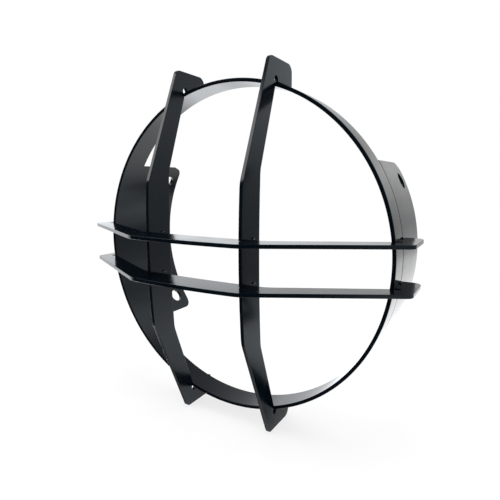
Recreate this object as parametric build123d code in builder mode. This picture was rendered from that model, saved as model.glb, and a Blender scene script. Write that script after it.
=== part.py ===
import math
import os

from build123d import *

os.makedirs("parts", exist_ok=True)

# The guard goes over a round headlamp from the front. Y runs from front to back along the
# lamp's axis, X to the right as seen from in front, and Z up. The origin is on the axis, in
# the plane of the ring band's front edge. Sizes are in millimetres, angles in degrees.

# Ring band: a strip rolled round the rim of the lamp
ring_outer_radius = 95.0
band_thickness = 2.0
band_depth = 15.5

# Mounting ears: curved plates that carry the band's roll on behind it, one each side. Their
# middles sit a little lower on the band than the lamp's axis.
ear_depth = 39.8
ear_half_angle = 35.0
ear_sag_angle = 2.8
ear_corner_radius = 6.5
ear_hole_diameter = 9.0
ear_hole_half_angle = 28.0
ear_hole_from_rear = 10.0

# Grille bars: flat plates set on edge, two upright and two level. The level pair has the
# higher, shorter crown and crosses in front of the uprights.
bar_thickness = 2.0
bar_depth = 16.7
upright_spacing = 59.4
upright_stand_off = 33.2
upright_crown_half_length = 39.6
upright_overhang = 11.5
level_spacing = 22.6
level_stand_off = 44.1
level_crown_half_length = 33.8
level_overhang = 9.7
rear_corner_shift = 6.2
front_bow = 1.6
rear_bow = 1.4
crown_corner_radius = 15.0

# Tabs at the ends of the bars, which lap over the outside of the band
tip_stand_off = 5.5
tab_reach = 19.3
tip_radius = 4.0
tab_corner_radius = 4.5
relief_radius = 1.9
relief_offset = 0.8
relief_set_back = 1.1
seat_margin = 0.3

# Half-lap joints where the bars cross
lap_side_clearance = 0.1

ring_inner_radius = ring_outer_radius - band_thickness
lap_line = (upright_stand_off + level_stand_off - bar_depth) / 2


def band_height(radius, plane_distance):
    """Height of the band's surface in a plane at this distance from the lamp's axis."""
    return math.sqrt(radius**2 - plane_distance**2)


def reach(corner):
    """How far out along its bar a corner lies."""
    return abs(corner.X)


def make_bar(plane, spacing, stand_off, crown_half_length, overhang, crossing_spacing, slot_align):
    """A bar cut from plate. In the plane, X runs along the bar and Y points forward."""
    band_top = band_height(ring_outer_radius, spacing / 2 - bar_thickness / 2)
    leg_root = band_height(ring_inner_radius, spacing / 2 + bar_thickness / 2) - seat_margin
    tab_top = band_top + overhang
    crown_front = stand_off - front_bow
    crown_rear = stand_off - bar_depth - rear_bow
    rear_half_length = crown_half_length + rear_corner_shift

    with BuildPart() as bar:
        with BuildSketch(plane) as profile:
            # One end: front of the leg, tab over the band, seat on the band, back of the leg
            with BuildLine():
                Polyline(
                    (crown_half_length, crown_front),
                    (tab_top, tip_stand_off),
                    (tab_top, -tab_reach),
                    (band_top, -tab_reach),
                    (band_top, 0),
                    (leg_root, 0),
                    (rear_half_length, crown_rear),
                )
                mirror(about=Plane.YZ)
                # The crown between the legs bows forward a little, front and rear
                ThreePointArc(
                    (-crown_half_length, crown_front),
                    (0, stand_off),
                    (crown_half_length, crown_front),
                )
                ThreePointArc(
                    (-rear_half_length, crown_rear),
                    (0, stand_off - bar_depth),
                    (rear_half_length, crown_rear),
                )
            make_face()

            crown_corners = profile.vertices().sort_by(reach)[:4]
            fillet(crown_corners, radius=crown_corner_radius)
            tab_rear_corners = profile.vertices().sort_by(Axis.Y)[:4].sort_by(reach)[2:]
            fillet(tab_rear_corners, radius=tab_corner_radius)
            tips = profile.vertices().sort_by(reach)[-4:].sort_by(Axis.Y)[-2:]
            fillet(tips, radius=tip_radius)

            # A round relief in the corner where the tab passes the band's front edge
            relief_reach = band_top + relief_offset
            with Locations((relief_reach, -relief_set_back), (-relief_reach, -relief_set_back)):
                Circle(relief_radius, mode=Mode.SUBTRACT)

            # Half-depth slots for the two bars that cross this one
            with Locations((crossing_spacing / 2, lap_line), (-crossing_spacing / 2, lap_line)):
                Rectangle(
                    bar_thickness + 2 * lap_side_clearance,
                    bar_depth,
                    align=(Align.CENTER, slot_align),
                    mode=Mode.SUBTRACT,
                )
        extrude(amount=bar_thickness / 2, both=True)
    return bar.part


def make_ear(facing):
    """An ear, rolled about the lamp's axis. Its middle is this many degrees below +X."""
    hole_depth = band_depth + ear_depth - ear_hole_from_rear
    with BuildPart() as ear:
        with BuildSketch(Plane.XY.rotated((0, facing - ear_half_angle, 0))):
            with Locations((ring_inner_radius, band_depth)):
                Rectangle(band_thickness, ear_depth, align=(Align.MIN, Align.MIN))
        revolve(axis=Axis.Y, revolution_arc=2 * ear_half_angle)

        rear_corners = ear.faces().sort_by(Axis.Y)[-1].edges().filter_by(GeomType.LINE)
        fillet(rear_corners, radius=ear_corner_radius)

        for hole_angle in (-ear_hole_half_angle, ear_hole_half_angle):
            spoke = Plane.XY.rotated((0, facing + hole_angle, 0))
            hole_mouth = spoke.from_local_coords((ring_outer_radius, hole_depth, 0))
            with Locations(Plane(origin=hole_mouth, z_dir=spoke.x_dir)):
                Hole(radius=ear_hole_diameter / 2)
    return ear.part


with BuildPart() as ring_band:
    with BuildSketch(Plane.XZ):
        Circle(ring_outer_radius)
        Circle(ring_inner_radius, mode=Mode.SUBTRACT)
    extrude(amount=-band_depth)
ring_band.part.label = "ring_band"
export_step(ring_band.part, "parts/ring_band.step")

# The level bars are slotted from the rear and the uprights from the front
for name, side in (("left_upright_bar", -1), ("right_upright_bar", 1)):
    upright_bar = make_bar(
        Plane(origin=(side * upright_spacing / 2, 0, 0), x_dir=(0, 0, 1), z_dir=(1, 0, 0)),
        upright_spacing,
        upright_stand_off,
        upright_crown_half_length,
        upright_overhang,
        level_spacing,
        Align.MIN,
    )
    upright_bar.label = name
    export_step(upright_bar, f"parts/{name}.step")

for name, side in (("lower_level_bar", -1), ("upper_level_bar", 1)):
    level_bar = make_bar(
        Plane(origin=(0, 0, side * level_spacing / 2), x_dir=(1, 0, 0), z_dir=(0, 0, -1)),
        level_spacing,
        level_stand_off,
        level_crown_half_length,
        level_overhang,
        upright_spacing,
        Align.MAX,
    )
    level_bar.label = name
    export_step(level_bar, f"parts/{name}.step")

for name, facing in (("left_ear", 180 - ear_sag_angle), ("right_ear", ear_sag_angle)):
    ear_plate = make_ear(facing)
    ear_plate.label = name
    export_step(ear_plate, f"parts/{name}.step")
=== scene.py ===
import math

import bmesh
import bpy
from mathutils import Matrix, Vector


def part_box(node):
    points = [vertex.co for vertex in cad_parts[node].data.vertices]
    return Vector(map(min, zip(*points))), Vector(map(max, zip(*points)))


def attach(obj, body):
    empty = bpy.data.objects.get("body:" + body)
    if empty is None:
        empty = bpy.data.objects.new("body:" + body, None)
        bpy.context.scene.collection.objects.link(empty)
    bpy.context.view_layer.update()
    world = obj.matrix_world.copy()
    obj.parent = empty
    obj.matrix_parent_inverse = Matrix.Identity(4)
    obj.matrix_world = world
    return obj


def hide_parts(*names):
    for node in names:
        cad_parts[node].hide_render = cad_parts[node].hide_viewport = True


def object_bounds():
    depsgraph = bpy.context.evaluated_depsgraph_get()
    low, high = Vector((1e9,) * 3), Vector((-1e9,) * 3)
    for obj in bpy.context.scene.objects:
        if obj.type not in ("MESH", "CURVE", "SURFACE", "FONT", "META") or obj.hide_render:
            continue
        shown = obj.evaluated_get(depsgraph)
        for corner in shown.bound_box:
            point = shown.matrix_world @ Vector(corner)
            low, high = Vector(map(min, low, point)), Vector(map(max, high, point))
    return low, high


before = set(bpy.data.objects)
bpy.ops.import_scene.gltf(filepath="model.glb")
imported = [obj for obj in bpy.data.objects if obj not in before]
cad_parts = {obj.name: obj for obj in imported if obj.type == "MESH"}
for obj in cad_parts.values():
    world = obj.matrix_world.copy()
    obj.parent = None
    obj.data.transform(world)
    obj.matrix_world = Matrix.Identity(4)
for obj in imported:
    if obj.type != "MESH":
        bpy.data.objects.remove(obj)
cad_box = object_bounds()


# The ring band: a steel strip rolled into a hoop and butt welded, 2 mm thick. It goes over
# the rim of the lamp, and everything else is welded to it.
band_low, band_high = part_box("ring_band")
band_outside = band_high.x
band_thickness = 0.002
band_inside = band_outside - band_thickness
hoop_steps = 240
same_point = 0.000001

hoop = bmesh.new()
section = [
    hoop.verts.new((radius, depth, 0))
    for radius, depth in (
        (band_inside, band_low.y),
        (band_outside, band_low.y),
        (band_outside, band_high.y),
        (band_inside, band_high.y),
    )
]
section_edges = [hoop.edges.new((section[i - 1], section[i])) for i in range(len(section))]
bmesh.ops.spin(
    hoop, geom=section + section_edges, cent=(0, 0, 0), axis=(0, 1, 0),
    angle=2 * math.pi, steps=hoop_steps, use_merge=True,
)
bmesh.ops.remove_doubles(hoop, verts=hoop.verts, dist=same_point)
bmesh.ops.recalc_face_normals(hoop, faces=hoop.faces)


# The coat: black powder sprayed on the welded guard and baked. It flows into a fine orange
# peel, wets the cut edges round, and is a little glossier in some places than in others.
coat_black = (0.0004, 0.0024, 0.0046, 1)
coat_worn = (0.0008, 0.0036, 0.0070, 1)
coat_roughness = (0.12, 0.20)
patches_to_metre, patch_detail = 45, 4
patch_contrast = (0.3, 0.7)
wave_size, wave_detail = 0.022, 1
wave_depth = 0.00003
peel_size, peel_detail = 0.0016, 2
peel_depth = 0.000004
edge_radius = 0.00035
edge_steps = 3
sharp_turn = math.radians(50)


def cloudy(tree, place, clouds_to_metre, detail):
    """Soft clouds, as a value at each place."""
    clouds = tree.nodes.new("ShaderNodeTexNoise")
    clouds.inputs["Scale"].default_value = clouds_to_metre
    clouds.inputs["Detail"].default_value = detail
    tree.links.new(place, clouds.inputs["Vector"])
    return clouds.outputs["Fac"]


def ranged(tree, value, taken, given=(0, 1), blend="LINEAR"):
    """Turns a value that runs over the taken range into one that runs over the given range."""
    spread = tree.nodes.new("ShaderNodeMapRange")
    spread.interpolation_type = blend
    ends = ("From Min", "From Max", "To Min", "To Max")
    for end, number in zip(ends, (*taken, *given)):
        spread.inputs[end].default_value = number
    tree.links.new(value, spread.inputs["Value"])
    return spread.outputs["Result"]


def raised(tree, height, depth, skin_below=None):
    """A skin with hills of this depth, over the skin below it."""
    hills = tree.nodes.new("ShaderNodeBump")
    hills.inputs["Distance"].default_value = depth
    tree.links.new(height, hills.inputs["Height"])
    if skin_below:
        tree.links.new(skin_below, hills.inputs["Normal"])
    return hills.outputs["Normal"]


coat = bpy.data.materials.new("black_powder_coat")
coat.use_nodes = True
tree = coat.node_tree
skin = tree.nodes["Principled BSDF"]
place = tree.nodes.new("ShaderNodeTexCoord").outputs["Object"]
patches = cloudy(tree, place, patches_to_metre, patch_detail)
tree.links.new(ranged(tree, patches, patch_contrast, coat_roughness), skin.inputs["Roughness"])
tint = tree.nodes.new("ShaderNodeMix")
tint.data_type = "RGBA"
tint.inputs["A"].default_value = coat_black
tint.inputs["B"].default_value = coat_worn
tree.links.new(patches, tint.inputs["Factor"])
tree.links.new(tint.outputs["Result"], skin.inputs["Base Color"])
waves = raised(tree, cloudy(tree, place, 1 / wave_size, wave_detail), wave_depth)
orange_peel = raised(tree, cloudy(tree, place, 1 / peel_size, peel_detail), peel_depth, waves)
tree.links.new(orange_peel, skin.inputs["Normal"])


def rounded(shape, edges, radius):
    """Rounds some of a shape's edges, if it has them."""
    if edges:
        bmesh.ops.bevel(
            shape, geom=edges, offset=radius, offset_type="OFFSET", segments=edge_steps,
            profile=0.5, affect="EDGES", material=-1, clamp_overlap=True,
        )


def coated(shape, name, node_replaced=None, ground_flush=()):
    """Rounds a shape's cut edges as the coat does, and hangs it on the guard."""
    rounded(shape, [
        edge for edge in shape.edges
        if edge.calc_face_angle() > sharp_turn and edge not in ground_flush
    ], edge_radius)
    for face in shape.faces:
        face.smooth = True
    for edge in shape.edges:
        edge.smooth = edge.calc_face_angle() < sharp_turn
    mesh = bpy.data.meshes.new(name)
    shape.to_mesh(mesh)
    shape.free()
    mesh.materials.append(coat)
    piece = bpy.data.objects.new(name, mesh)
    bpy.context.scene.collection.objects.link(piece)
    piece.modifiers.new("flat faces", "WEIGHTED_NORMAL").keep_sharp = True
    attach(piece, "root")
    if node_replaced:
        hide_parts(node_replaced)


# The seams: each ear is butt welded to the rear edge of the band. The weld is ground flush on
# the inside, and on the outside it is left as a shallow groove.
groove_radius = 0.00060
seam_reach = 0.00001


def seam_edges(shape, seam_depth):
    """The inner and the outer edges of a rolled plate where the ears are welded to the band."""
    inner, outer = [], []
    middle = (band_inside + band_outside) / 2
    for edge in shape.edges:
        if all(abs(vert.co.y - seam_depth) < seam_reach for vert in edge.verts):
            radii = [math.hypot(vert.co.x, vert.co.z) for vert in edge.verts]
            if max(radii) < middle:
                inner.append(edge)
            elif min(radii) > middle:
                outer.append(edge)
    return inner, outer


def coated_at_seam(shape, name, node_replaced, seam_depth):
    """Coats a rolled plate, with the groove rounded outside and the edge kept sharp inside."""
    outer = seam_edges(shape, seam_depth)[1]
    rounded(shape, outer, groove_radius)
    # Rounding renews the edges, so the inner ones are looked up after it
    inner = seam_edges(shape, seam_depth)[0]
    coated(shape, name, node_replaced, inner)


coated_at_seam(hoop, "rolled_band", "ring_band", band_high.y)


# The mounting ears: a steel plate each side, cut flat with rounded rear corners and two screw
# holes, rolled to the band's own radius and butt welded to its rear edge.
ear_low, ear_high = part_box("right_ear")
ear_top = math.asin(ear_high.z / band_outside)
ear_bottom = math.asin(ear_low.z / band_outside)
ear_sag = -(ear_top + ear_bottom) / 2
ear_half_angle = (ear_top - ear_bottom) / 2
ear_corner = 0.0065
corner_steps = 10
hole_radius = 0.0045
hole_half_angle = math.radians(28)
hole_from_rear = 0.010
hole_steps = 40
widest_strip = 0.0016
narrowest_strip = 0.0003
same_strip = math.radians(0.15)
off_axis = Vector((1, 0, 1))


def cut_blank():
    """An ear's outline and its holes as they are cut, flat, with X along the band's rim."""
    blank = bmesh.new()
    half_length = band_outside * ear_half_angle
    corners = [
        blank.verts.new((along, depth, 0))
        for along, depth in (
            (-half_length, ear_low.y),
            (half_length, ear_low.y),
            (half_length, ear_high.y),
            (-half_length, ear_high.y),
        )
    ]
    blank.faces.new(corners)
    bmesh.ops.bevel(
        blank, geom=corners[2:], offset=ear_corner, offset_type="OFFSET", segments=corner_steps,
        profile=0.5, affect="VERTICES", material=-1,
    )
    bmesh.ops.delete(blank, geom=list(blank.faces), context="FACES_ONLY")
    for side in (-1, 1):
        centre = (side * band_outside * hole_half_angle, ear_high.y - hole_from_rear, 0)
        bmesh.ops.create_circle(
            blank, cap_ends=False, segments=hole_steps, radius=hole_radius,
            matrix=Matrix.Translation(centre),
        )
    return blank


def bend_lines(blank):
    """Where the blank bends along X: at each corner of its outlines, and often enough between."""
    marks = sorted(vert.co.x for vert in blank.verts)
    lines = marks[:1]
    for mark in marks[1:]:
        strip = mark - lines[-1]
        if strip > narrowest_strip:
            count = math.ceil(strip / widest_strip)
            lines += [mark - strip * i / count for i in reversed(range(count))]
    return lines[1:-1]


def roll(blank, facing):
    """Fills the blank, rolls it round the lamp's axis and gives it its thickness inwards."""
    lines = bend_lines(blank)
    bmesh.ops.triangle_fill(blank, edges=blank.edges, use_beauty=True)
    for line in lines:
        bmesh.ops.bisect_plane(
            blank, geom=blank.verts[:] + blank.edges[:] + blank.faces[:], dist=same_point,
            plane_co=(line, 0, 0), plane_no=(1, 0, 0),
        )
    for vert in blank.verts:
        angle = facing + vert.co.x / band_outside
        vert.co = (band_outside * math.cos(angle), vert.co.y, band_outside * math.sin(angle))
    bmesh.ops.dissolve_limit(
        blank, angle_limit=same_strip, verts=blank.verts, edges=blank.edges,
    )
    bmesh.ops.recalc_face_normals(blank, faces=blank.faces)
    if sum(face.normal.dot(face.calc_center_median() * off_axis) for face in blank.faces) < 0:
        bmesh.ops.reverse_faces(blank, faces=blank.faces)
    bmesh.ops.solidify(blank, geom=blank.faces, thickness=band_thickness)
    bmesh.ops.recalc_face_normals(blank, faces=blank.faces)


for side, facing in (("left", math.pi + ear_sag), ("right", -ear_sag)):
    ear = cut_blank()
    roll(ear, facing)
    coated_at_seam(ear, f"{side}_rolled_ear", f"{side}_ear", ear_low.y)


# The grille bars: four steel plates set on edge, laser cut with a tab at each end that laps
# over the band, halved into each other where they cross, and welded at every meeting.
same_plane = math.radians(0.1)

for bar_name in ("left_upright_bar", "right_upright_bar", "upper_level_bar", "lower_level_bar"):
    plate = bmesh.new()
    plate.from_mesh(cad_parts[bar_name].data)
    bmesh.ops.remove_doubles(plate, verts=plate.verts, dist=same_point)
    bmesh.ops.dissolve_limit(
        plate, angle_limit=same_plane, verts=plate.verts, edges=plate.edges,
    )
    coated(plate, bar_name.replace("_bar", "_plate"), bar_name)


# The tack welds: short steel beads that hold the bars where they cross and hold their tabs to
# the band. They are as black as the rest and show by the glint on them.
bead_size = Vector((0.0012, 0.0024, 0.0012))
bead_turns, bead_rings = 16, 10
bead_sink = 0.0002
bar_half_thickness = 0.001
crossing_depth = -0.0225
tab_tack_depth = 0.0145
upright_places = [
    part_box(name)[0].x + bar_half_thickness for name in ("left_upright_bar", "right_upright_bar")
]
level_places = [
    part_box(name)[0].z + bar_half_thickness for name in ("lower_level_bar", "upper_level_bar")
]
corner = bar_half_thickness + bead_sink

tack_places = []
for across in upright_places:
    for up in level_places:
        for side in (-1, 1):
            tack_places.append(Vector((across + side * corner, crossing_depth, up + corner)))
for side in (-1, 1):
    for up in level_places:
        reach = math.sqrt(band_outside ** 2 - (up + corner) ** 2) + bead_sink
        tack_places.append(Vector((side * reach, tab_tack_depth, up + corner)))
    for across in upright_places:
        reach = math.sqrt(band_outside ** 2 - (across + corner) ** 2) + bead_sink
        tack_places.append(Vector((across + corner, tab_tack_depth, side * reach)))

tacks = bmesh.new()
for tack_place in tack_places:
    bmesh.ops.create_uvsphere(
        tacks, u_segments=bead_turns, v_segments=bead_rings, radius=1.0,
        matrix=Matrix.Translation(tack_place) @ Matrix.Diagonal(bead_size / 2).to_4x4(),
    )
coated(tacks, "tack_welds")


# The view. The photograph was taken from the guard's right and close to it, a little above
# its middle, with a plain lens. The focal length and the frame are in the photograph's pixels.
eye = Vector((0.1360, -0.1993, 0.0403))
eye_yaw = math.radians(29.98)
eye_pitch = math.radians(-9.62)
eye_roll = math.radians(0.08)
nearest_seen = 0.01
focal_length = 421.5
frame_width = 500
frame_centre = (259.1, 252.6)

forward = Vector((
    -math.sin(eye_yaw) * math.cos(eye_pitch),
    math.cos(eye_yaw) * math.cos(eye_pitch),
    math.sin(eye_pitch),
))
level_right = Vector((math.cos(eye_yaw), math.sin(eye_yaw), 0))
level_up = level_right.cross(forward)
eye_right = math.cos(eye_roll) * level_right - math.sin(eye_roll) * level_up
eye_up = math.sin(eye_roll) * level_right + math.cos(eye_roll) * level_up
turn = Matrix((eye_right, eye_up, -forward)).transposed()

lens = bpy.data.cameras.new("eye")
lens.lens = lens.sensor_width * focal_length / frame_width
lens.shift_x = 0.5 - frame_centre[0] / frame_width
lens.shift_y = frame_centre[1] / frame_width - 0.5
lens.clip_start = nearest_seen
camera = bpy.data.objects.new("eye", lens)
camera.matrix_world = Matrix.Translation(eye) @ turn.to_4x4()
bpy.context.scene.collection.objects.link(camera)
bpy.context.scene.camera = camera
bpy.context.scene.view_settings.view_transform = "Standard"


# The studio: a white sweep of paper that the guard stands on, under broad soft boxes. The
# paper glows to the eye, fully so away from the guard, and keeps its shadow close by.
paper_white = (0.86, 0.86, 0.86, 1)
paper_reach = 4
glow_distances = (0.16, 0.55)
near_and_far_glow = (0.75, 1.0)


def product(tree, first, second):
    """Two values multiplied."""
    times = tree.nodes.new("ShaderNodeMath")
    times.operation = "MULTIPLY"
    tree.links.new(first, times.inputs[0])
    tree.links.new(second, times.inputs[1])
    return times.outputs[0]


def shown(tree, share, usual, instead, kind):
    """Gives a material or a world its usual look, and another look by this share."""
    look = tree.nodes.new("ShaderNodeMixShader")
    tree.links.new(share, look.inputs["Fac"])
    tree.links.new(usual.outputs[0], look.inputs[1])
    tree.links.new(instead.outputs[0], look.inputs[2])
    out = tree.nodes.new(kind)
    tree.links.new(look.outputs[0], out.inputs["Surface"])


sweep = bmesh.new()
bmesh.ops.create_grid(sweep, x_segments=1, y_segments=1, size=paper_reach)
bmesh.ops.translate(sweep, verts=sweep.verts, vec=(0, 0, cad_box[0].z))
floor_mesh = bpy.data.meshes.new("floor")
sweep.to_mesh(floor_mesh)
sweep.free()
floor = bpy.data.objects.new("floor", floor_mesh)
floor.visible_glossy = False
bpy.context.scene.collection.objects.link(floor)

paper = bpy.data.materials.new("paper")
paper.use_nodes = True
tree = paper.node_tree
tree.nodes.clear()
paper_face = tree.nodes.new("ShaderNodeBsdfDiffuse")
paper_face.inputs["Color"].default_value = paper_white
paper_light = tree.nodes.new("ShaderNodeEmission")
distance = tree.nodes.new("ShaderNodeVectorMath")
distance.operation = "LENGTH"
place = tree.nodes.new("ShaderNodeTexCoord").outputs["Object"]
tree.links.new(place, distance.inputs[0])
glow = ranged(tree, distance.outputs["Value"], glow_distances, near_and_far_glow, "SMOOTHSTEP")
ray = tree.nodes.new("ShaderNodeLightPath")
glow_to_eye = product(tree, ray.outputs["Is Camera Ray"], glow)
shown(tree, glow_to_eye, paper_face, paper_light, "ShaderNodeOutputMaterial")
floor_mesh.materials.append(paper)

# The key light, at the left of the eye and above it, is the one that the coat mirrors
for name, lamp_place, size, power, mirrored in (
    ("top_box", Vector((0.1, 0.1, 1.1)), 1.2, 8.0, False),
    ("key_box", Vector((-0.66, -0.55, 0.68)), 0.5, 2.5, True),
):
    soft_box = bpy.data.lights.new(name, "AREA")
    soft_box.shape = "SQUARE"
    soft_box.size = size
    soft_box.energy = power
    lamp = bpy.data.objects.new(name, soft_box)
    aim = lamp_place.to_track_quat("Z", "Y").to_matrix().to_4x4()
    lamp.matrix_world = Matrix.Translation(lamp_place) @ aim
    lamp.visible_glossy = mirrored
    bpy.context.scene.collection.objects.link(lamp)


# The room that the glossy coat mirrors, white to everything else. Its four walls blend into
# one another from the left round to the far right, with a dark patch behind the eye. A wall's
# stops give its glow at a height, which is the upward part of a ray's direction.
room_white = (1, 1, 1, 1)
left_tint = (0.97, 1.00, 1.03)
left_wall = (
    (-0.74, 0.20), (-0.64, 2.80), (-0.50, 4.00), (-0.40, 2.70), (-0.32, 2.45), (-0.23, 1.50),
    (-0.14, 1.30), (0.06, 1.38), (0.13, 1.60), (0.18, 1.30), (0.24, 1.20), (0.40, 0.60),
    (0.55, 0.40), (0.68, 0.30),
)
back_tint = (1.00, 1.00, 1.00)
back_wall = (
    (-0.69, 1.20), (-0.60, 1.10), (-0.40, 1.80), (-0.30, 1.60), (-0.19, 1.30), (-0.13, 0.70),
    (-0.02, 0.52), (0.07, 0.64), (0.14, 0.84), (0.22, 1.04), (0.30, 0.62), (0.50, 0.52),
    (0.70, 0.28),
)
right_tint = (0.93, 1.00, 1.06)
right_wall = (
    (-0.68, 1.10), (-0.62, 0.90), (-0.57, 0.65), (-0.52, 0.06), (-0.45, 0.03), (-0.43, 0.20),
    (-0.39, 0.70), (-0.34, 0.65), (-0.28, 0.32), (-0.22, 0.02), (-0.10, 0.12), (0.00, 0.20),
    (0.10, 0.45), (0.23, 0.80), (0.45, 0.65), (0.60, 0.80), (0.70, 0.55),
)
far_right_wall = (
    (-0.60, 1.00), (-0.51, 0.85), (-0.45, 0.60), (-0.35, 0.86), (-0.27, 0.60), (-0.20, 0.28),
    (-0.05, 0.32), (0.05, 0.42), (0.13, 0.58), (0.22, 0.50), (0.32, 0.38), (0.41, 0.50),
    (0.52, 0.80), (0.62, 0.95),
)
wall_heights = (-0.75, 0.75)
left_to_back = (-0.60, 0.02)
back_to_right = (0.20, 0.46)
right_to_far = (0.44, 0.58)
brightest = 4.5
dark_towards = (-0.30, -0.95, 0.0)
dark_to_lit = (0.64, 0.44)
dark_glow = 0.04
faces_met = (1, 2)
glow_by_faces_met = (1.0, 0.22)

room = bpy.data.worlds.new("room")
bpy.context.scene.world = room
room.use_nodes = True
tree = room.node_tree
tree.nodes.clear()
direction = tree.nodes.new("ShaderNodeTexCoord").outputs["Generated"]
split = tree.nodes.new("ShaderNodeSeparateXYZ")
tree.links.new(direction, split.inputs[0])
height = ranged(tree, split.outputs["Z"], wall_heights)


def wall(stops, wall_tint):
    """A wall's glow at each height, as a share of the brightest."""
    ramp = tree.nodes.new("ShaderNodeValToRGB")
    ramp.color_ramp.interpolation = "EASE"
    marks = ramp.color_ramp.elements
    while len(marks) < len(stops):
        marks.new(1)
    lowest, highest = wall_heights
    for mark, (level, brightness) in zip(marks, stops):
        mark.position = (level - lowest) / (highest - lowest)
        mark.color = [brightness / brightest * channel for channel in wall_tint] + [1]
    tree.links.new(height, ramp.inputs["Fac"])
    return ramp.outputs["Color"]


around = wall(left_wall, left_tint)
for stops, wall_tint, blend_span in (
    (back_wall, back_tint, left_to_back),
    (right_wall, right_tint, back_to_right),
    (far_right_wall, right_tint, right_to_far),
):
    joined = tree.nodes.new("ShaderNodeMix")
    joined.data_type = "RGBA"
    past_corner = ranged(tree, split.outputs["X"], blend_span, blend="SMOOTHSTEP")
    tree.links.new(past_corner, joined.inputs["Factor"])
    tree.links.new(around, joined.inputs["A"])
    tree.links.new(wall(stops, wall_tint), joined.inputs["B"])
    around = joined.outputs["Result"]

towards_dark = tree.nodes.new("ShaderNodeVectorMath")
towards_dark.operation = "DOT_PRODUCT"
towards_dark.inputs[1].default_value = dark_towards
tree.links.new(direction, towards_dark.inputs[0])
lit = ranged(
    tree, towards_dark.outputs["Value"], dark_to_lit, (dark_glow, brightest), "SMOOTHSTEP",
)
# By way of two faces of the coat, the room shows dimmer than by way of one
ray = tree.nodes.new("ShaderNodeLightPath")
dimmed = ranged(tree, ray.outputs["Glossy Depth"], faces_met, glow_by_faces_met)
mirrored_room = tree.nodes.new("ShaderNodeBackground")
tree.links.new(around, mirrored_room.inputs["Color"])
tree.links.new(product(tree, lit, dimmed), mirrored_room.inputs["Strength"])
white_room = tree.nodes.new("ShaderNodeBackground")
white_room.inputs["Color"].default_value = room_white
shown(tree, ray.outputs["Is Glossy Ray"], white_room, mirrored_room, "ShaderNodeOutputWorld")
